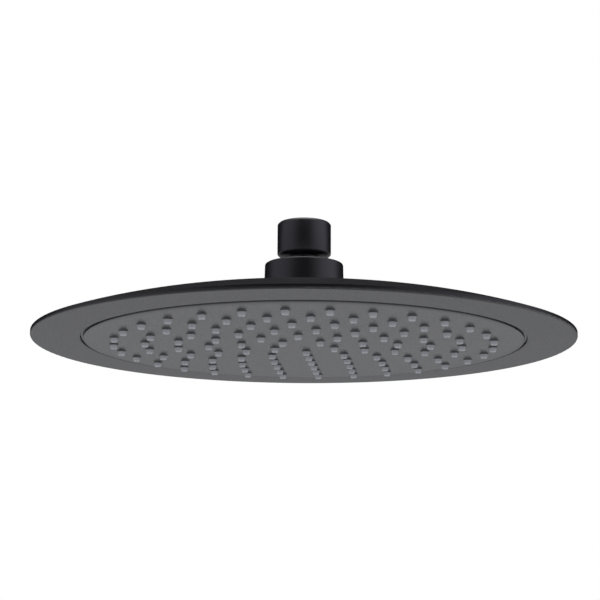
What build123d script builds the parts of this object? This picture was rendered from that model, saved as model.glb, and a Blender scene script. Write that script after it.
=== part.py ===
from build123d import *

import os
from math import acos, asin, atan2, cos, degrees, radians, sin, sqrt

# Rain shower head: a wide dome on a ball swivel that screws onto a half-inch shower arm.
# Millimetres, +Z up along the arm. The origin is on the axis, where the inlet's thread starts.

# Heights, stacked from the nut's foot down to the flat of the front ring
neck_gap = 3.9  # nut to collar, the room that the head tilts in
collar_height = 15.4
plinth_height = 1.5
dome_rise = 18.6
cover_edge = 0.8  # upright edge of the dome
ring_edge = 1.2  # edge of the front ring that shows under it

# Inlet of the nut
thread_radius = 9.32  # crest of the half-inch pipe thread
thread_length = 8.4
lead_in = 1.1  # chamfer at the mouth
nut_wall = 3.2
nut_floor = 4.0
nut_top_chamfer = 1.0
nut_foot_chamfer = 0.8
pocket_relief = 0.88  # how far the washer's pocket reaches behind the thread

# Ball and waterway
ball_radius = 10.5
ball_depth = 9.2  # top of the collar down to the middle of the ball
waterway_radius = 4.6
stem_wall = 1.8
stem_fillet = 1.0
ledge_width = 0.9  # step in the waterway that carries the restrictor
tilt_limit = 10.0  # degrees, each way about two crossed axes
running_clearance = 0.1
tilt_clearance = 0.4

# Inlet washer and screen
washer_wall = 2.2
washer_width = 3.9
washer_room = 0.2  # washer to the end of the thread
screen_wall = 0.4
screen_grip = 1.0  # how far the screen's edge reaches into the washer
screen_margin = 0.7  # outermost holes to the edge of the washer
screen_hole = 0.8
screen_rings = 2
screen_holes_per_ring = 6  # in the inner ring, and as many more in the outer one
screen_hole_sides = 6

# Flow restrictor
restrictor_height = 3.6
restrictor_room = 0.4  # below the floor of the washer's pocket
restrictor_wall = 0.9
restrictor_floor = 1.4
restrictor_pin_radius = 1.1
restrictor_port = 0.5
restrictor_ports = 4
soft_ring_height = 1.4
soft_ring_gap = 0.55

# Seat, slip ring and seals around the ball
seat_web = 0.4  # behind the seal's groove
seat_start = 42.0  # degrees up from straight down
seat_end = 72.0  # degrees up from straight down
socket_spare = 1.0  # degrees that the socket reaches past the travel of the seat
seal_side = 1.4  # the seals are rings of square section
slip_ring_wall = 1.6
slip_ring_gap = 0.4  # neck to the foot of the slip ring

# Locking collar and the neck that it screws onto
collar_wall = 3.55
collar_taper = 0.4
collar_fillet = 0.9
neck_wall = 2.4
neck_rise = 0.4  # middle of the ball up to the top of the neck
flare_wall = 4.0
flare_height = 4.5

# Dome
head_radius = 125.0
shoulder_width = 45.0  # the rim in to where the flat arc of the crown takes over
shoulder_drop = 6.7
cover_wall = 2.3
plinth_land = 3.7
plinth_fillet = 1.2
hub_boss = 0.3  # flat of the hub below the inside of the dome
cover_washer_wall = 1.0

# Front ring
ring_width = 22.6
ring_step = 0.6  # step that seats inside the edge of the dome
ring_round = 0.7

# Spray face
groove_width = 1.2
panel_proud = 0.8
panel_wall = 2.2
panel_round = 0.8
flange_width = 3.6  # reach of the flange behind the front ring
flange_wall = 1.5
seal_land_width = 10.2
seal_lip = 1.4  # wall inside the chamber seal
nozzle_margin = 3.4  # outermost nozzles to the seal land
nozzle_rings = 6
nozzles_per_ring = 5  # in the innermost ring, and as many more in each ring outwards
nozzle_turn = 13.0  # degrees from +X to the line where all rings start
nozzle_length = 2.4
nozzle_base_radius = 2.2
nozzle_tip_radius = 1.5
nozzle_sides = 8  # flats that stand for the round of each small nozzle
jet_radius = 0.55
jet_sides = 4

# Water plate
plate_wall = 2.0
plate_flange_wall = 1.8
plate_slope = 3.5  # width of the sloped wall of the chamber
cover_gap = 0.4  # what lies under the dome to its inside
gusset_count = 8
gusset_wall = 1.6
gusset_toe = 1.0

# Screws of the chamber
screw_count = 8
screw_inset = 4.3  # edge of the panel in to the middle of a screw
screw_margin = 1.2  # screw heads to the edge of the plate
screw_radius = 1.25
screw_bite = 2.6
screw_head_radius = 2.4
screw_head_height = 1.2
screw_head_sides = 6

# Fits
seat_gap = 0.1
bore_clearance = 0.1
pass_clearance = 0.3

# Heights of the nut, collar, dome and ring
nut_top_z = lead_in
washer_pocket_z = nut_top_z - lead_in - thread_length
pocket_floor_z = washer_pocket_z - washer_room - washer_wall
ledge_z = pocket_floor_z - restrictor_room - restrictor_height
nut_foot_z = pocket_floor_z - nut_floor
collar_top_z = nut_foot_z - neck_gap
collar_base_z = collar_top_z - collar_height
ball_z = collar_top_z - ball_depth
crown_z = collar_base_z - plinth_height
rim_top_z = crown_z - dome_rise
cover_edge_z = rim_top_z - cover_edge
face_z = cover_edge_z - ring_edge
ring_back_z = cover_edge_z + ring_step

# Radii around the ball, from the waterway out to the plinth
nut_radius = thread_radius + nut_wall
washer_pocket_radius = thread_radius + pocket_relief
stem_radius = waterway_radius + stem_wall
outlet_radius = waterway_radius - ledge_width
ball_contact_radius = ball_radius + running_clearance
seat_outer_radius = ball_contact_radius + seal_side + running_clearance + seat_web
socket_radius = seat_outer_radius + running_clearance
slip_ring_radius = ball_contact_radius + slip_ring_wall
neck_radius = socket_radius + neck_wall
neck_hole_radius = neck_radius + pass_clearance
plinth_radius = neck_hole_radius + plinth_land
collar_bore_radius = neck_radius + bore_clearance
collar_base_radius = collar_bore_radius + collar_wall

# Radii of the face, from the rim inwards
ring_inner_radius = head_radius - ring_width
panel_radius = ring_inner_radius - groove_width
flange_radius = ring_inner_radius + flange_width
screw_circle = panel_radius - screw_inset
plate_radius = screw_circle + screw_head_radius + screw_margin
seal_land_radius = panel_radius - seal_land_width
chamber_seal_radius = seal_land_radius + seal_lip + seal_side / 2
chamber_edge_radius = seal_land_radius - plate_slope
nozzle_pitch = (seal_land_radius - nozzle_margin) / nozzle_rings

nozzle_taper = degrees(atan2(nozzle_base_radius - nozzle_tip_radius, nozzle_length))
screw_turn = 180 / screw_count  # half a step, so that each screw sits between two gussets
groove_side = seal_side + 2 * running_clearance

# Outside of the dome, drawn once in section: a flat crown and a steeper shoulder, tangent to it
shoulder_radius = head_radius - shoulder_width
with BuildLine() as dome_line:
    crown = TangentArc((0, crown_z), (shoulder_radius, crown_z - shoulder_drop), tangent=(1, 0))
    shoulder = TangentArc(crown @ 1, (head_radius, rim_top_z), tangent=crown % 1)


def under_dome(radius):
    """Height of the inside of the dome at a radius."""
    arc = shoulder if radius > shoulder_radius else crown
    return arc.arc_center.Y + sqrt((arc.radius - cover_wall) ** 2 - (radius - arc.arc_center.X) ** 2)


def inside_dome(height):
    """Radius of the inside of the dome's shoulder at a height."""
    drop = height - shoulder.arc_center.Y
    return shoulder.arc_center.X + sqrt((shoulder.radius - cover_wall) ** 2 - drop**2)


# Heights of what lies under the dome
hub_foot_z = under_dome(plinth_radius) - hub_boss
shoulder_z = hub_foot_z - cover_washer_wall
shoulder_foot_z = shoulder_z - plate_wall
panel_front_z = face_z - panel_proud
panel_back_z = panel_front_z + panel_wall
nozzle_tip_z = panel_front_z - nozzle_length
flange_front_z = ring_back_z + seat_gap
screw_top_z = under_dome(screw_circle + screw_head_radius) - cover_gap
plate_flange_z = screw_top_z - screw_head_height
seal_land_z = plate_flange_z - plate_flange_wall
plate_top_z = under_dome(chamber_edge_radius) - cover_gap - gusset_toe
chamber_top_z = plate_top_z - plate_wall

# Both tilts together lean the head by this angle
full_tilt = acos(cos(radians(tilt_limit)) ** 2)
mouth_angle = asin((stem_radius + tilt_clearance) / ball_contact_radius) + full_tilt


def below_ball(distance, angle):
    """Section point at a distance from the middle of the ball, at an angle up from straight down."""
    return (distance * sin(radians(angle)), ball_z - distance * cos(radians(angle)))


def around_ball(rise):
    """Section point of the running surface around the ball, at a height above its middle."""
    return (sqrt(ball_contact_radius**2 - rise**2), ball_z + rise)


def mouth_radius(rise):
    """Radius at which the collar clears the stem at full tilt, at a height above the middle of the ball."""
    return (stem_radius + tilt_clearance + rise * sin(full_tilt)) / cos(full_tilt)


seal_angle = (seat_start + seat_end) / 2
ball_seal_spot = Location(below_ball(ball_contact_radius + seal_side / 2, seal_angle), seal_angle)
seat_seal_spot = Location(below_ball(socket_radius + seal_side / 2, seal_angle), seal_angle)


# Swivel nut, stem and ball, turned in one piece
with BuildPart() as swivel_ball_nut:
    with BuildSketch(Plane.XZ):
        with BuildLine():
            stem_end = (stem_radius, ball_z + sqrt(ball_radius**2 - stem_radius**2))
            ball_end = (outlet_radius, ball_z - sqrt(ball_radius**2 - outlet_radius**2))
            Polyline(
                (thread_radius, nut_top_z),
                (nut_radius, nut_top_z),
                (nut_radius, nut_foot_z),
                (stem_radius, nut_foot_z),
                stem_end,
            )
            ThreePointArc(stem_end, (ball_radius, ball_z), ball_end)
            Polyline(
                ball_end,
                (outlet_radius, ledge_z),
                (waterway_radius, ledge_z),
                (waterway_radius, pocket_floor_z),
                (washer_pocket_radius, pocket_floor_z),
                (washer_pocket_radius, washer_pocket_z),
                (thread_radius, washer_pocket_z),
                (thread_radius, nut_top_z),
            )
        make_face()
    revolve(axis=Axis.Z)
    rims = swivel_ball_nut.edges().filter_by(GeomType.CIRCLE)
    outer_rims = rims.filter_by(lambda edge: edge.radius > waterway_radius + stem_wall / 2)
    foot_edges = outer_rims.group_by(lambda edge: abs(edge.center().Z - nut_foot_z))[0].sort_by(SortBy.RADIUS)
    top_edges = rims.group_by(Axis.Z)[-1].sort_by(SortBy.RADIUS)
    fillet(foot_edges[0], stem_fillet)
    chamfer(foot_edges[-1], nut_foot_chamfer)
    chamfer(top_edges[0], lead_in)
    chamfer(top_edges[-1], nut_top_chamfer)
swivel_ball_nut.part.label = "swivel_ball_nut"

# Rubber washer on the floor of the nut, with a groove that holds the screen
washer_radius = washer_pocket_radius - bore_clearance
washer_hole_radius = washer_radius - washer_width
screen_radius = washer_hole_radius + screen_grip
screen_z = pocket_floor_z + washer_wall / 2
with BuildPart() as inlet_washer:
    with BuildSketch(Plane.XY.offset(pocket_floor_z)):
        Circle(washer_radius)
        Circle(washer_hole_radius, mode=Mode.SUBTRACT)
    extrude(amount=washer_wall)
    with BuildSketch(Plane.XY.offset(screen_z)):
        Circle(screen_radius + bore_clearance)
    extrude(amount=screen_wall / 2 + running_clearance, both=True, mode=Mode.SUBTRACT)
inlet_washer.part.label = "inlet_washer"

# Perforated steel disc in that groove
screen_pitch = (washer_hole_radius - screen_margin - screen_hole) / screen_rings
with BuildPart() as inlet_screen:
    with BuildSketch(Plane.XY.offset(screen_z)):
        Circle(screen_radius)
        RegularPolygon(screen_hole, screen_hole_sides, mode=Mode.SUBTRACT)
        for ring in range(1, screen_rings + 1):
            with PolarLocations(ring * screen_pitch, ring * screen_holes_per_ring):
                RegularPolygon(screen_hole, screen_hole_sides, mode=Mode.SUBTRACT)
    extrude(amount=screen_wall / 2, both=True)
inlet_screen.part.label = "inlet_screen"

# Flow restrictor, a cup with a pin, on the ledge of the waterway
cup_radius = waterway_radius - bore_clearance
cup_inner_radius = cup_radius - restrictor_wall
with BuildPart() as flow_restrictor:
    with BuildSketch(Plane.XY.offset(ledge_z)):
        Circle(cup_radius)
    extrude(amount=restrictor_height)
    with BuildSketch(Plane.XY.offset(ledge_z + restrictor_floor)):
        Circle(cup_inner_radius)
        Circle(restrictor_pin_radius, mode=Mode.SUBTRACT)
    extrude(amount=restrictor_height, mode=Mode.SUBTRACT)
    port_circle = (restrictor_pin_radius + cup_inner_radius) / 2
    with Locations((0, 0, ledge_z + restrictor_floor)):
        with PolarLocations(port_circle, restrictor_ports):
            Hole(restrictor_port, restrictor_floor)
flow_restrictor.part.label = "flow_restrictor"

# Soft ring around the pin of that cup
with BuildPart() as restrictor_ring:
    with BuildSketch(Plane.XY.offset(ledge_z + restrictor_floor)):
        Circle(cup_inner_radius - soft_ring_gap)
        Circle(restrictor_pin_radius + soft_ring_gap, mode=Mode.SUBTRACT)
    extrude(amount=soft_ring_height)
restrictor_ring.part.label = "restrictor_ring"

# Spherical seat under the ball, grooved for the seal that wipes the ball
with BuildPart() as ball_seat:
    with BuildSketch(Plane.XZ):
        with BuildLine():
            inner_arc = ThreePointArc(
                below_ball(ball_contact_radius, seat_start),
                below_ball(ball_contact_radius, seal_angle),
                below_ball(ball_contact_radius, seat_end),
            )
            outer_arc = ThreePointArc(
                below_ball(seat_outer_radius, seat_start),
                below_ball(seat_outer_radius, seal_angle),
                below_ball(seat_outer_radius, seat_end),
            )
            Line(inner_arc @ 0, outer_arc @ 0)
            Line(inner_arc @ 1, outer_arc @ 1)
        make_face()
        with Locations(ball_seal_spot):
            Rectangle(groove_side, groove_side, mode=Mode.SUBTRACT)
    revolve(axis=Axis.Z)
ball_seat.part.label = "ball_seat"

with BuildPart() as ball_seal:
    with BuildSketch(Plane.XZ):
        with Locations(ball_seal_spot):
            Rectangle(seal_side, seal_side)
    revolve(axis=Axis.Z)
ball_seal.part.label = "ball_seal"

with BuildPart() as seat_seal:
    with BuildSketch(Plane.XZ):
        with Locations(seat_seal_spot):
            Rectangle(seal_side, seal_side)
    revolve(axis=Axis.Z)
seat_seal.part.label = "seat_seal"

# Slip ring over the ball, up to where the cone that clears the stem leaves the ball
slip_ring_foot = neck_rise + slip_ring_gap
slip_ring_top = ball_contact_radius * cos(mouth_angle)
with BuildPart() as slip_ring:
    with BuildSketch(Plane.XZ):
        with BuildLine():
            slip_arc = ThreePointArc(
                around_ball(slip_ring_foot),
                around_ball((slip_ring_foot + slip_ring_top) / 2),
                around_ball(slip_ring_top),
            )
            Polyline(
                slip_arc @ 1,
                (slip_ring_radius, ball_z + slip_ring_top),
                (slip_ring_radius, ball_z + slip_ring_foot),
                slip_arc @ 0,
            )
        make_face()
    revolve(axis=Axis.Z)
slip_ring.part.label = "slip_ring"

# Locking collar: threaded bore below, lip with a flared mouth above
lip_rise = slip_ring_top + running_clearance
collar_step_z = ball_z + neck_rise + pass_clearance
with BuildPart() as locking_collar:
    with BuildSketch(Plane.XZ):
        with BuildLine():
            Polyline(
                (collar_bore_radius, collar_base_z),
                (collar_base_radius, collar_base_z),
                (collar_base_radius - collar_taper, collar_top_z),
                (mouth_radius(ball_depth), collar_top_z),
                (mouth_radius(lip_rise), ball_z + lip_rise),
                (slip_ring_radius + bore_clearance, ball_z + lip_rise),
                (slip_ring_radius + bore_clearance, collar_step_z),
                (collar_bore_radius, collar_step_z),
                close=True,
            )
        make_face()
    revolve(axis=Axis.Z)
    collar_rim = locking_collar.edges().group_by(Axis.Z)[-1].sort_by(SortBy.RADIUS)[-1]
    fillet(collar_rim, collar_fillet)
locking_collar.part.label = "locking_collar"

# Domed cover: a wall under the dome's line, with an upright rim and a hub that the neck passes
with BuildPart() as back_cover:
    with BuildSketch(Plane.XZ) as cover_section:
        with BuildLine():
            add(dome_line.line)
            offset(amount=cover_wall, side=Side.RIGHT)
        make_face()
        with BuildLine():
            Polyline(
                (head_radius, rim_top_z),
                (head_radius, cover_edge_z),
                (head_radius - cover_wall, cover_edge_z),
                close=True,
            )
        make_face()
        with Locations((0, cover_edge_z)):
            Rectangle(head_radius, cover_wall, align=(Align.MIN, Align.MAX), mode=Mode.SUBTRACT)
        with Locations((0, hub_foot_z)):
            Rectangle(plinth_radius, collar_base_z - hub_foot_z, align=Align.MIN)
            Rectangle(neck_hole_radius, collar_base_z - hub_foot_z, align=Align.MIN, mode=Mode.SUBTRACT)
        corners = cover_section.vertices().sort_by(Axis.Y)
        hub_side = corners.filter_by(lambda corner: abs(corner.X - plinth_radius) < bore_clearance)
        fillet(hub_side[-2], plinth_fillet)
    revolve(axis=Axis.Z)
back_cover.part.label = "back_cover"

# Rubber washer between the hub and the shoulder of the neck
with BuildPart() as cover_washer:
    with BuildSketch(Plane.XY.offset(shoulder_z)):
        Circle(plinth_radius)
        Circle(neck_hole_radius, mode=Mode.SUBTRACT)
    extrude(amount=cover_washer_wall)
cover_washer.part.label = "cover_washer"

# Water plate: chamber cover, gussets and the neck with the socket of the seat
socket_mouth = below_ball(socket_radius, seat_start - tilt_limit - socket_spare)
flare_radius = neck_radius - flare_wall
with BuildPart() as water_plate:
    with BuildSketch(Plane.XZ):
        with BuildLine():
            socket_middle = below_ball(socket_radius, seal_angle)
            socket = ThreePointArc(socket_mouth, socket_middle, (socket_radius, ball_z))
            Polyline(
                socket @ 1,
                (socket_radius, ball_z + neck_rise),
                (neck_radius, ball_z + neck_rise),
                (neck_radius, shoulder_z),
                (plinth_radius, shoulder_z),
                (plinth_radius, shoulder_foot_z),
                (neck_radius, shoulder_foot_z),
                (neck_radius, plate_top_z),
                (chamber_edge_radius, plate_top_z),
                (seal_land_radius, plate_flange_z),
                (plate_radius, plate_flange_z),
                (plate_radius, seal_land_z),
                (seal_land_radius - plate_wall, seal_land_z),
                (chamber_edge_radius - plate_wall / 2, chamber_top_z),
                (flare_radius, chamber_top_z),
                (flare_radius, chamber_top_z + flare_height),
                socket_mouth,
            )
        make_face()
        with Locations(seat_seal_spot):
            Rectangle(groove_side, groove_side, mode=Mode.SUBTRACT)
    revolve(axis=Axis.Z)
    with BuildSketch(Plane.XZ):
        with BuildLine():
            Polyline(
                (neck_radius - gusset_wall, plate_top_z),
                (neck_radius - gusset_wall, shoulder_foot_z),
                (plinth_radius, shoulder_foot_z),
                (chamber_edge_radius, plate_top_z + gusset_toe),
                (chamber_edge_radius, plate_top_z),
                close=True,
            )
        make_face()
    with PolarLocations(0, gusset_count):
        extrude(amount=gusset_wall / 2, both=True)
    with Locations((0, 0, plate_flange_z)):
        with PolarLocations(screw_circle, screw_count, start_angle=screw_turn):
            Hole(screw_radius + pass_clearance, plate_flange_wall)
water_plate.part.label = "water_plate"

with BuildPart() as chamber_seal:
    with BuildSketch(Plane.XY.offset(seal_land_z)):
        Circle(chamber_seal_radius + seal_side / 2)
        Circle(chamber_seal_radius - seal_side / 2, mode=Mode.SUBTRACT)
    extrude(amount=-seal_side)
chamber_seal.part.label = "chamber_seal"

# Spray face: panel, flange behind the front ring, land for the seal and screws, and the nozzles
with BuildPart() as spray_face:
    with BuildSketch(Plane.XY.offset(panel_front_z)):
        Circle(panel_radius)
    extrude(amount=panel_wall)
    fillet(spray_face.edges().sort_by(Axis.Z)[0], panel_round)
    with BuildSketch(Plane.XY.offset(panel_back_z)):
        Circle(panel_radius)
        Circle(seal_land_radius, mode=Mode.SUBTRACT)
    extrude(amount=seal_land_z - panel_back_z)
    with BuildSketch(Plane.XY.offset(flange_front_z)):
        Circle(flange_radius)
        Circle(plate_radius + pass_clearance, mode=Mode.SUBTRACT)
    extrude(amount=flange_wall)
    with BuildSketch(Plane.XY.offset(seal_land_z)):
        Circle(chamber_seal_radius + groove_side / 2)
        Circle(chamber_seal_radius - groove_side / 2, mode=Mode.SUBTRACT)
    extrude(amount=-seal_side, mode=Mode.SUBTRACT)
    with Locations((0, 0, seal_land_z)):
        with PolarLocations(screw_circle, screw_count, start_angle=screw_turn):
            Hole(screw_radius + running_clearance, screw_bite + bore_clearance)
    with BuildSketch(Plane.XY.offset(panel_front_z)):
        for ring in range(1, nozzle_rings + 1):
            with PolarLocations(ring * nozzle_pitch, ring * nozzles_per_ring, start_angle=nozzle_turn):
                RegularPolygon(nozzle_base_radius, nozzle_sides)
    extrude(amount=-nozzle_length, taper=nozzle_taper)
    with BuildSketch(Plane.XY.offset(nozzle_tip_z)):
        for ring in range(1, nozzle_rings + 1):
            with PolarLocations(ring * nozzle_pitch, ring * nozzles_per_ring, start_angle=nozzle_turn):
                RegularPolygon(jet_radius, jet_sides)
    extrude(amount=nozzle_length + panel_wall, mode=Mode.SUBTRACT)
spray_face.part.label = "spray_face"

# Flat ring around the panel, stepped at its edge to seat in the rim of the dome
with BuildPart() as front_ring:
    with BuildSketch(Plane.XZ):
        with BuildLine():
            step_radius = inside_dome(ring_back_z) - bore_clearance
            Polyline(
                (ring_inner_radius, face_z),
                (head_radius, face_z),
                (head_radius, cover_edge_z),
                (step_radius, cover_edge_z),
                (step_radius, ring_back_z),
                (ring_inner_radius, ring_back_z),
                close=True,
            )
        make_face()
    revolve(axis=Axis.Z)
    fillet(front_ring.edges().group_by(Axis.Z)[0].filter_by(GeomType.CIRCLE), ring_round)
front_ring.part.label = "front_ring"

# Hexagon screws that close the chamber, one group of separate solids
with BuildPart() as plate_screws:
    with BuildSketch(Plane.XY.offset(plate_flange_z)):
        with PolarLocations(screw_circle, screw_count, start_angle=screw_turn):
            RegularPolygon(screw_head_radius, screw_head_sides)
    extrude(amount=screw_head_height)
    with BuildSketch(Plane.XY.offset(plate_flange_z)):
        with PolarLocations(screw_circle, screw_count, start_angle=screw_turn):
            Circle(screw_radius)
    extrude(amount=-(plate_flange_wall + screw_bite))
plate_screws.part.label = "plate_screws"

pieces = [
    swivel_ball_nut,
    inlet_washer,
    inlet_screen,
    flow_restrictor,
    restrictor_ring,
    ball_seat,
    ball_seal,
    seat_seal,
    slip_ring,
    locking_collar,
    back_cover,
    cover_washer,
    water_plate,
    chamber_seal,
    spray_face,
    front_ring,
    plate_screws,
]
os.makedirs("parts", exist_ok=True)
for piece in pieces:
    export_step(piece.part, f"parts/{piece.part.label}.step")
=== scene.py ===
import bpy
import math
import numpy as np
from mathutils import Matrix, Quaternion, Vector


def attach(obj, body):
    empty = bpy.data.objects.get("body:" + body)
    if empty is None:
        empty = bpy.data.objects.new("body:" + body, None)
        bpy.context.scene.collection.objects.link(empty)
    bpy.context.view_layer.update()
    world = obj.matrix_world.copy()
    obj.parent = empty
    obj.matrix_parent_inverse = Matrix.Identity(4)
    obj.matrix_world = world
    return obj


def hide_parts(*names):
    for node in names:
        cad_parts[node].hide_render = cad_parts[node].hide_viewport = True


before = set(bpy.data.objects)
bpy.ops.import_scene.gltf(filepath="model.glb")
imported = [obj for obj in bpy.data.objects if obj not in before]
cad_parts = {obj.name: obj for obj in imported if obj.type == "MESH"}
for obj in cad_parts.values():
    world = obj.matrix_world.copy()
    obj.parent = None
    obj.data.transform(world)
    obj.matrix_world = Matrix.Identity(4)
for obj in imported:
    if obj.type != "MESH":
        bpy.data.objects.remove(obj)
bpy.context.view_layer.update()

mm = 0.001  # the frame is in metres, the sizes below are millimetres
scene = bpy.context.scene
scene.view_settings.view_transform = "Standard"


def linearColour(code):  # sRGB hex to linear: a short straight foot, then the 2.4 power
    channels = np.array([int(code[i:i + 2], 16) for i in (1, 3, 5)]) / 255
    curve = np.where(channels <= 0.04045, channels / 12.92, ((channels + 0.055) / 1.055) ** 2.4)
    return (*curve.tolist(), 1.0)


def addNode(tree, kind, settings=None, links=None):  # one node with its settings, socket values and links
    node = tree.nodes.new(kind)
    for key, value in (settings or {}).items():
        if isinstance(key, int) or key in node.inputs:
            node.inputs[key].default_value = value
        else:
            setattr(node, key, value)
    for key, (source, output) in (links or {}).items():
        tree.links.new(source.outputs[output], node.inputs[key])
    return node


def newMaterial(name):  # a material with an empty node tree
    material = bpy.data.materials.new(name)
    material.use_nodes = True
    material.node_tree.nodes.clear()
    return material, material.node_tree


def newPiece(name, points, quads, caps=()):  # points in millimetres, quads and caps as rows of indices
    mesh = bpy.data.meshes.new(name)
    mesh.from_pydata((np.asarray(points) * mm).tolist(), [], [*np.asarray(quads).tolist(), *caps])
    mesh.shade_smooth()
    mesh.update()
    piece = bpy.data.objects.new(name, mesh)
    scene.collection.objects.link(piece)
    return piece


def ringGrid(rows, count, closed):  # quads between neighbouring rings, last joined to first if closed
    row = np.arange(rows if closed else rows - 1)[:, None]
    step = np.arange(count)[None, :]
    here, up = row * count, (row + 1) % rows * count
    turn = (step + 1) % count
    return np.stack([here + step, here + turn, up + turn, up + step], -1).reshape(-1, 4)


def turned(radius, height):  # a row for each ring of a turned form, a column for each step round its axis
    angle = np.linspace(0, 2 * np.pi, radius.shape[1], endpoint=False)
    return np.stack([radius * np.cos(angle), radius * np.sin(angle), height], -1).reshape(-1, 3)


def rings(section, count):  # radius and height of a section line, repeated round the axis
    section = np.asarray(section, float)
    return np.repeat(section[:, :1], count, 1), np.repeat(section[:, 1:], count, 1)


def arcPoints(centre, radius, start, end, count):
    # points on a circle in section, or on an ellipse where two radii are given; degrees start at outwards
    angle = np.radians(np.linspace(start, end, count))
    return np.stack([np.cos(angle), np.sin(angle)], -1) * radius + centre


def softened(corners, cut):  # each inner corner of a section line becomes two points, a small cut apart
    corners = np.asarray(corners, float)
    before, after = corners[:-2] - corners[1:-1], corners[2:] - corners[1:-1]
    longBefore, longAfter = np.linalg.norm(before, axis=1), np.linalg.norm(after, axis=1)
    share = np.minimum(cut, np.minimum(longBefore, longAfter) / 3)[:, None]  # at most a third of a side
    first = corners[1:-1] + before / longBefore[:, None] * share
    second = corners[1:-1] + after / longAfter[:, None] * share
    inner = np.stack([first, second], 1).reshape(-1, 2)
    return np.concatenate([corners[:1], inner, corners[-1:]])


# Camera, below the face and looking up at it
view = {
    "place": (0.0, -739.01, -184.11), "aim": (-1.82, 0.0, -35.59), "roll": 0.3,
    "lens": 97.3, "sensor": 36.0, "near": 20.0, "far": 100000.0,
}
cameraData = bpy.data.cameras.new("photoCamera")
cameraData.lens = view["lens"]
cameraData.sensor_width = view["sensor"]
cameraData.clip_start = view["near"] * mm
cameraData.clip_end = view["far"] * mm
camera = bpy.data.objects.new("photoCamera", cameraData)
scene.collection.objects.link(camera)
camera.location = Vector(view["place"]) * mm
sight = (Vector(view["aim"]) - Vector(view["place"])).to_track_quat("-Z", "Y")
camera.rotation_mode = "QUATERNION"
camera.rotation_quaternion = sight @ Quaternion((0, 0, 1), math.radians(view["roll"]))
scene.camera = camera
print("camera set")

# Light: an even white world, a pale floor, a soft lamp overhead, and dark flats that only reflections see
studio = {
    "worldColour": "#ffffff", "worldStrength": 1.0,
    "floorZ": -1150.0, "floorHalf": 30000.0, "floorColour": "#eff0f3",
    "flatRadius": 2600.0, "flatFoot": -450.0, "flatTop": 7000.0, "flatSegments": 96,
    "flatColour": "#f0eeff", "flatDark": 0.012, "flatLeft": 0.65, "flatRight": 1.0, "flatHigh": 0.6,
    # where the flats open sideways, close behind the part and pale upwards, as shares of their radius
    "openFrom": 0.3, "openTo": 0.9, "closeFrom": 0.1, "closeTo": 0.55, "riseFrom": 0.7, "riseTo": 1.6,
    "lampZ": 1900.0, "lampSize": 1600.0, "lampWatts": 14.0,
}
world = bpy.data.worlds.new("evenWhite")
scene.world = world
world.use_nodes = True
world.node_tree.nodes.clear()
sky = addNode(
    world.node_tree, "ShaderNodeBackground",
    {"Color": linearColour(studio["worldColour"]), "Strength": studio["worldStrength"]},
)
addNode(world.node_tree, "ShaderNodeOutputWorld", links={"Surface": (sky, "Background")})

half = studio["floorHalf"]
floorCorners = [(-half, -half), (half, -half), (half, half), (-half, half)]
floor = newPiece("studioFloor", [(x, y, studio["floorZ"]) for x, y in floorCorners], [[0, 1, 2, 3]])
floorPaint, tree = newMaterial("floorMattePaint")  # plain pale paint, even and dull
paint = addNode(tree, "ShaderNodeBsdfDiffuse", {"Color": linearColour(studio["floorColour"])})
addNode(tree, "ShaderNodeOutputMaterial", links={"Surface": (paint, "BSDF")})
floor.data.materials.append(floorPaint)

flatSection = [(studio["flatRadius"], studio["flatFoot"]), (studio["flatRadius"], studio["flatTop"])]
flatPoints = turned(*rings(flatSection, studio["flatSegments"]))
flatQuads = ringGrid(len(flatSection), studio["flatSegments"], False)[:, ::-1]
flats = newPiece("studioFlats", flatPoints, flatQuads)
# a glow that only reflections see, painting a reflected room: pale at the sides, brighter on the right,
# eased to dark along the line of sight and behind the part, and pale again high up, where only the views
# from above meet it
flatGlowMaterial, tree = newMaterial("paintedReflectionGlow")
reach = studio["flatRadius"] * mm
place = addNode(tree, "ShaderNodeTexCoord")
axes = addNode(tree, "ShaderNodeSeparateXYZ", links={0: (place, "Object")})
aside = addNode(tree, "ShaderNodeMath", {"operation": "ABSOLUTE"}, {0: (axes, "X")})
level = addNode(
    tree, "ShaderNodeMapRange",
    {"From Min": -reach, "From Max": reach, "To Min": studio["flatLeft"], "To Max": studio["flatRight"]},
    {"Value": (axes, "X")},
)
opened = addNode(
    tree, "ShaderNodeMapRange",
    {
        "interpolation_type": "SMOOTHSTEP",
        "From Min": studio["openFrom"] * reach, "From Max": studio["openTo"] * reach,
    },
    {"Value": (aside, "Value")},
)
closed = addNode(
    tree, "ShaderNodeMapRange",
    {
        "interpolation_type": "SMOOTHSTEP", "To Min": 1.0, "To Max": 0.0,
        "From Min": studio["closeFrom"] * reach, "From Max": studio["closeTo"] * reach,
    },
    {"Value": (axes, "Y")},
)
band = addNode(
    tree, "ShaderNodeMath", {"operation": "MULTIPLY"}, {0: (opened, "Result"), 1: (closed, "Result")},
)
tone = addNode(
    tree, "ShaderNodeMath", {"operation": "MULTIPLY_ADD", 2: studio["flatDark"]},
    {0: (band, "Value"), 1: (level, "Result")},
)
risen = addNode(
    tree, "ShaderNodeMapRange",
    {
        "interpolation_type": "SMOOTHSTEP", "To Min": 0.0, "To Max": studio["flatHigh"],
        "From Min": studio["riseFrom"] * reach, "From Max": studio["riseTo"] * reach,
    },
    {"Value": (axes, "Z")},
)
lit = addNode(tree, "ShaderNodeMath", {"operation": "MAXIMUM"}, {0: (tone, "Value"), 1: (risen, "Result")})
glow = addNode(
    tree, "ShaderNodeEmission", {"Color": linearColour(studio["flatColour"])}, {"Strength": (lit, "Value")},
)
addNode(tree, "ShaderNodeOutputMaterial", links={"Surface": (glow, "Emission")})
flats.data.materials.append(flatGlowMaterial)
flats.visible_camera = flats.visible_diffuse = flats.visible_shadow = False

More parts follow.
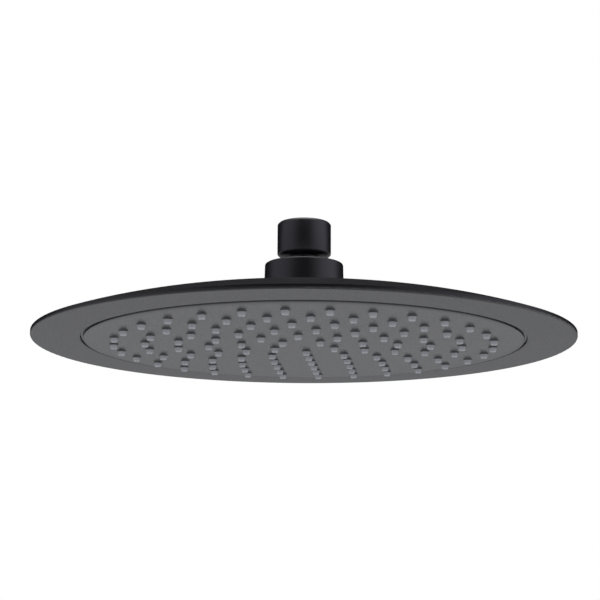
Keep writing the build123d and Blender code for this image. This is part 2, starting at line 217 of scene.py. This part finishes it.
lampData = bpy.data.lights.new("overheadSoftbox", "AREA")
lampData.size = studio["lampSize"] * mm
lampData.energy = studio["lampWatts"]
lamp = bpy.data.objects.new("overheadSoftbox", lampData)
lamp.location = (0, 0, studio["lampZ"] * mm)
lamp.visible_camera = False
scene.collection.objects.link(lamp)
print("studio set")

peelDepth, gritDepth = 0.05, 0.03  # height of the two reliefs at a lift of 1, in millimetres
noiseLow, noiseHigh = 0.3, 0.7  # between these lies nearly all of a noise


def surfaceFinish(name, look):
    # a colour that drifts between two, a low wavy peel, and a grit that moves both relief and roughness;
    # the real grit is finer than a tenth of a millimetre and is drawn coarser, so that it shows
    material, tree = newMaterial(name)
    place = addNode(tree, "ShaderNodeTexCoord")
    grain = addNode(tree, "ShaderNodeMapping", {"Scale": look["stretch"]}, {"Vector": (place, "Object")})
    drift = addNode(
        tree, "ShaderNodeTexNoise", {"Scale": 1 / (look["driftMm"] * mm), "Detail": 2.0},
        {"Vector": (place, "Object")},
    )
    peel = addNode(
        tree, "ShaderNodeTexNoise", {"Scale": 1 / (look["peelMm"] * mm), "Detail": 1.0},
        {"Vector": (place, "Object")},
    )
    grit = addNode(
        tree, "ShaderNodeTexNoise", {"Scale": 1 / (look["gritMm"] * mm), "Detail": 3.0},
        {"Vector": (grain, "Vector")},
    )
    colour = addNode(  # sockets 6 and 7 are the two colours, output 2 is their mix
        tree, "ShaderNodeMix",
        {"data_type": "RGBA", 6: linearColour(look["dark"]), 7: linearColour(look["light"])},
        {0: (drift, "Fac")},
    )
    low, high = look["rough"] - look["roughDrift"], look["rough"] + look["roughDrift"]
    rough = addNode(
        tree, "ShaderNodeMapRange",
        {"From Min": noiseLow, "From Max": noiseHigh, "To Min": low, "To Max": high},
        {"Value": (grit, "Fac")},
    )
    waves = addNode(
        tree, "ShaderNodeBump", {"Strength": look["peelLift"], "Distance": peelDepth * mm},
        {"Height": (peel, "Fac")},
    )
    relief = addNode(
        tree, "ShaderNodeBump", {"Strength": look["gritLift"], "Distance": gritDepth * mm},
        {"Height": (grit, "Fac"), "Normal": (waves, "Normal")},
    )
    body = addNode(
        tree, "ShaderNodeBsdfPrincipled", look["shine"],
        {"Base Color": (colour, 2), "Roughness": (rough, "Result"), "Normal": (relief, "Normal")},
    )
    addNode(tree, "ShaderNodeOutputMaterial", links={"Surface": (body, "BSDF")})
    return material


def dress(material, *names):  # gives CAD nodes their material
    for name in names:
        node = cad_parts[name]
        node.data.materials.clear()
        node.data.materials.append(material)


even = (1.0, 1.0, 1.0)  # grit alike in all directions

# Dome: ABS, sprayed black, the same paint as the front ring drawn as a shaded copy: painted shade gives it
# a darker colour and a lower specular level, and it is smoother, so it mirrors dark surroundings; a faint
# orange peel
domeShadedLook = {
    "dark": "#09090b", "light": "#0d0d0f", "driftMm": 60.0,
    "peelMm": 2.4, "peelLift": 0.06, "gritMm": 0.7, "gritLift": 0.1, "stretch": even,
    "rough": 0.34, "roughDrift": 0.04, "shine": {"IOR": 1.5, "Specular IOR Level": 0.4},
}
dress(surfaceFinish("absPaintShadedCopy", domeShadedLook), "back_cover")

# Front ring: ABS, sprayed with matte black paint, a soft sheen that greys at a low angle
ringLook = {
    "dark": "#0d0d0f", "light": "#111114", "driftMm": 60.0,
    "peelMm": 2.4, "peelLift": 0.05, "gritMm": 0.7, "gritLift": 0.12, "stretch": even,
    "rough": 0.47, "roughDrift": 0.05, "shine": {"IOR": 1.5},
}
dress(surfaceFinish("absMattePaint", ringLook), "front_ring")

# Collar: ABS moulded in a spark-eroded tool, a fine even grain
collarLook = {
    "dark": "#0b0b0f", "light": "#101016", "driftMm": 25.0,
    "peelMm": 3.0, "peelLift": 0.03, "gritMm": 0.5, "gritLift": 0.15, "stretch": even,
    "rough": 0.38, "roughDrift": 0.05, "shine": {"IOR": 1.54},
}
dress(surfaceFinish("absSparkGrain", collarLook), "locking_collar")

# Seals and washers: EPDM rubber, moulded, dull black with a pale bloom in patches
sealLook = {
    "dark": "#1a1a1b", "light": "#2a2a2c", "driftMm": 6.0,
    "peelMm": 2.0, "peelLift": 0.05, "gritMm": 0.5, "gritLift": 0.2, "stretch": even,
    "rough": 0.7, "roughDrift": 0.08, "shine": {"IOR": 1.48},
}
dress(
    surfaceFinish("epdmMoulded", sealLook),
    "inlet_washer", "ball_seal", "seat_seal", "cover_washer", "chamber_seal",
)

# Screen and screws: stainless steel, cold rolled, with fine lines along the sheet
steelLook = {
    "dark": "#a0a1a3", "light": "#b4b5b7", "driftMm": 4.0,
    "peelMm": 3.0, "peelLift": 0.03, "gritMm": 0.3, "gritLift": 0.12, "stretch": (0.08, 1.0, 1.0),
    "rough": 0.3, "roughDrift": 0.08, "shine": {"Metallic": 1.0},
}
dress(surfaceFinish("stainlessRolled", steelLook), "inlet_screen", "plate_screws")

# Seat, slip ring and restrictor: acetal, moulded natural white, slightly waxy
acetalLook = {
    "dark": "#e3e2da", "light": "#edece6", "driftMm": 8.0,
    "peelMm": 3.0, "peelLift": 0.04, "gritMm": 0.5, "gritLift": 0.06, "stretch": even,
    "rough": 0.38, "roughDrift": 0.06, "shine": {"IOR": 1.48},
}
dress(surfaceFinish("acetalMoulded", acetalLook), "ball_seat", "slip_ring", "flow_restrictor")

# Water plate: ABS, moulded grey, with the soft streaks of its flow
plateLook = {
    "dark": "#6a6a6c", "light": "#77777a", "driftMm": 18.0,
    "peelMm": 4.0, "peelLift": 0.06, "gritMm": 0.8, "gritLift": 0.08, "stretch": (1.0, 0.3, 1.0),
    "rough": 0.45, "roughDrift": 0.06, "shine": {"IOR": 1.54},
}
dress(surfaceFinish("absFlowMoulded", plateLook), "water_plate")

# Nozzle tips and the ring of the restrictor: silicone rubber, moulded grey, soft and slightly dusty
siliconeLook = {
    "dark": "#8c8c91", "light": "#9a9a9f", "driftMm": 3.0,
    "peelMm": 1.2, "peelLift": 0.04, "gritMm": 0.4, "gritLift": 0.08, "stretch": even,
    "rough": 0.42, "roughDrift": 0.05, "shine": {"IOR": 1.42},
}
siliconeRubber = surfaceFinish("siliconeMoulded", siliconeLook)
dress(siliconeRubber, "restrictor_ring")
print("nodes dressed")

# Nut: brass with a baked black powder coat, a slight orange peel that softens its edges
nutLook = {
    "dark": "#111116", "light": "#15151c", "driftMm": 15.0,
    "peelMm": 1.4, "peelLift": 0.1, "gritMm": 0.4, "gritLift": 0.1, "stretch": even,
    "rough": 0.36, "roughDrift": 0.05, "shine": {"IOR": 1.5},
}
nutShape = {
    "segments": 96, "sharp": 50.0, "soft": 0.2,
    "radius": 12.52, "topZ": 1.1, "topCut": 1.0, "footZ": -14.8, "footCut": 0.8,
    "stem": 6.4, "stemRound": 1.0, "stemRows": 6,
    "ball": 10.5, "ballZ": -27.9, "ballRows": 32,
    "outlet": 3.7, "ledgeZ": -14.8, "waterway": 4.6, "floorZ": -10.8, "pocket": 10.2,
    # half-inch pipe thread, 14 turns to the inch
    "threadZ": -8.4, "threadRows": 60, "crest": 9.32, "depth": 1.16, "pitch": 1.814, "runOut": 0.9,
}


def nutSection(shape):  # outside from the mouth down to the ball, then inside up to where the thread starts
    stemEnd = math.degrees(math.acos(shape["stem"] / shape["ball"]))
    ballEnd = -math.degrees(math.acos(shape["outlet"] / shape["ball"]))
    root = (shape["stem"] + shape["stemRound"], shape["footZ"] - shape["stemRound"])
    outside = softened([
        (shape["crest"] + shape["topZ"], shape["topZ"]),
        (shape["radius"] - shape["topCut"], shape["topZ"]),
        (shape["radius"], shape["topZ"] - shape["topCut"]),
        (shape["radius"], shape["footZ"] + shape["footCut"]),
        (shape["radius"] - shape["footCut"], shape["footZ"]),
        (root[0] + shape["soft"], shape["footZ"]),
    ], shape["soft"])
    neck = arcPoints(root, shape["stemRound"], 90, 180, shape["stemRows"])
    ball = arcPoints((0, shape["ballZ"]), shape["ball"], stemEnd, ballEnd, shape["ballRows"])
    inside = [
        (shape["outlet"], shape["ledgeZ"]),
        (shape["waterway"], shape["ledgeZ"]),
        (shape["waterway"], shape["floorZ"]),
        (shape["pocket"], shape["floorZ"]),
        (shape["pocket"], shape["threadZ"]),
    ]
    return np.concatenate([outside, neck, ball, inside])


def nutGrid(shape):
    # the groove is a cosine of height over pitch less the turn, faded in at its end; the lead-in opens it
    radius, height = rings(nutSection(shape), shape["segments"])
    bore = np.linspace(shape["threadZ"], shape["topZ"], shape["threadRows"], endpoint=False)[:, None]
    turn = np.linspace(0, 1, shape["segments"], endpoint=False)[None, :]
    groove = 0.5 - 0.5 * np.cos(2 * np.pi * (bore / shape["pitch"] - turn))
    fade = np.clip((bore - shape["threadZ"]) / shape["runOut"], 0, 1)
    thread = shape["crest"] + np.maximum(shape["depth"] * groove * fade, bore)
    radius = np.concatenate([radius, thread])
    height = np.concatenate([height, np.repeat(bore, shape["segments"], 1)])
    return turned(radius, height), ringGrid(len(radius), shape["segments"], True)[:, ::-1]


nutPoints, nutQuads = nutGrid(nutShape)
nutPiece = newPiece("swivel_nut", nutPoints, nutQuads)
nutPiece.data.set_sharp_from_angle(angle=math.radians(nutShape["sharp"]))
nutPiece.data.materials.append(surfaceFinish("brassPowderCoat", nutLook))
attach(nutPiece, "nut")
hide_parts("swivel_ball_nut")
print("nut turned:", len(nutQuads), "faces")

# Panel: ABS moulded black, a satin face that catches the room at a low angle
panelLook = {
    "dark": "#141417", "light": "#18181b", "driftMm": 45.0,
    "peelMm": 4.0, "peelLift": 0.04, "gritMm": 0.7, "gritLift": 0.1, "stretch": even,
    "rough": 0.4, "roughDrift": 0.05, "shine": {"IOR": 1.5},
}
panelShape = {
    "segments": 144, "sharp": 40.0, "soft": 0.15, "middle": 1.0,
    "radius": 101.2, "frontZ": -57.0,
    "edgeWide": 7.0, "edgeHigh": 0.8, "edgeRows": 12,  # the width over which the edge falls, and how far
    "shelf": 102.3, "shelfZ": -55.1,  # the bottom of the groove beside the front ring
    "flange": 106.0, "flangeFrontZ": -54.3, "flangeBackZ": -52.8,
    "land": 91.0, "landZ": -52.1, "backZ": -54.8,
}


def panelGrid(shape):
    # one section from the middle of the front, round the edge, shelf and flange, to the middle of the back
    edgeCentre = (shape["radius"] - shape["edgeWide"], shape["frontZ"] + shape["edgeHigh"])
    edge = arcPoints(edgeCentre, (shape["edgeWide"], shape["edgeHigh"]), -90, 0, shape["edgeRows"])
    back = softened([
        (shape["radius"], shape["shelfZ"] - shape["soft"]),
        (shape["radius"], shape["shelfZ"]),
        (shape["shelf"], shape["shelfZ"]),
        (shape["shelf"], shape["flangeFrontZ"]),
        (shape["flange"], shape["flangeFrontZ"]),
        (shape["flange"], shape["flangeBackZ"]),
        (shape["radius"], shape["flangeBackZ"]),
        (shape["radius"], shape["landZ"]),
        (shape["land"], shape["landZ"]),
        (shape["land"], shape["backZ"]),
        (shape["middle"], shape["backZ"]),
    ], shape["soft"])
    section = np.concatenate([[(shape["middle"], shape["frontZ"])], edge, back])
    first = np.arange(shape["segments"])
    last = first + (len(section) - 1) * shape["segments"]
    caps = [first[::-1].tolist(), last.tolist()]
    quads = ringGrid(len(section), shape["segments"], False)
    return turned(*rings(section, shape["segments"])), quads, caps


panelPlastic = surfaceFinish("absSatinMoulded", panelLook)
panelPoints, panelQuads, panelCaps = panelGrid(panelShape)
panelPiece = newPiece("spray_panel", panelPoints, panelQuads, panelCaps)
panelPiece.data.set_sharp_from_angle(angle=math.radians(panelShape["sharp"]))
panelPiece.data.materials.append(panelPlastic)
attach(panelPiece, "head")
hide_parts("spray_face")
print("panel turned:", len(panelQuads), "faces")

# Nozzles: a low boss of the panel with a soft tip in it, at every place of the rings
nozzleShape = {
    "segments": 12, "sharp": 50.0,
    "rings": 6, "perRing": 5, "pitch": 14.6, "start": 13.0, "rootZ": -57.0,
    # sections as radius and height, from the panel's front
    "boss": [(2.6, 0.05), (2.25, -0.12), (2.05, -0.55), (1.5, -0.6)],
    "tip": [(1.8, -0.5), (1.62, -1.9), (1.35, -2.32), (1.05, -2.4), (0.62, -2.36), (0.5, -1.2)],
}


def nozzlePlaces(shape):  # ring k has k times as many places as the first, even from one shared line
    count = np.arange(1, shape["rings"] + 1) * shape["perRing"]
    ring = np.repeat(np.arange(1, shape["rings"] + 1), count)
    index = np.arange(count.sum()) - np.repeat(np.cumsum(count) - count, count)
    angle = np.radians(shape["start"]) + 2 * np.pi * index / (ring * shape["perRing"])
    out = ring * shape["pitch"]
    height = np.full(len(out), shape["rootZ"])
    return np.stack([out * np.cos(angle), out * np.sin(angle), height], -1)


def nozzleField(shape, section):  # one short section, turned about its own axis and copied to all places
    one = turned(*rings(section, shape["segments"]))
    places = nozzlePlaces(shape)
    points = (places[:, None] + one[None]).reshape(-1, 3)
    start = np.arange(len(places))[:, None] * len(one)
    quads = ringGrid(len(section), shape["segments"], False)[:, ::-1]
    quads = (quads[None] + start[:, None]).reshape(-1, 4)
    rim = np.arange(shape["segments"])[None, :]
    roots, ends = rim + start, rim[:, ::-1] + start + len(one) - shape["segments"]
    return points, quads, [*roots.tolist(), *ends.tolist()]


for name, section, material, slot in (
    ("nozzle_bosses", nozzleShape["boss"], panelPlastic, "face_plastic"),
    ("spray_nozzles", nozzleShape["tip"], siliconeRubber, "grey_silicone"),
):
    points, quads, caps = nozzleField(nozzleShape, section)
    piece = newPiece(name, points, quads, caps)
    piece.data.set_sharp_from_angle(angle=math.radians(nozzleShape["sharp"]))
    piece.data.materials.append(material)
    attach(piece, "head")
    print(name, "set:", len(quads), "faces")
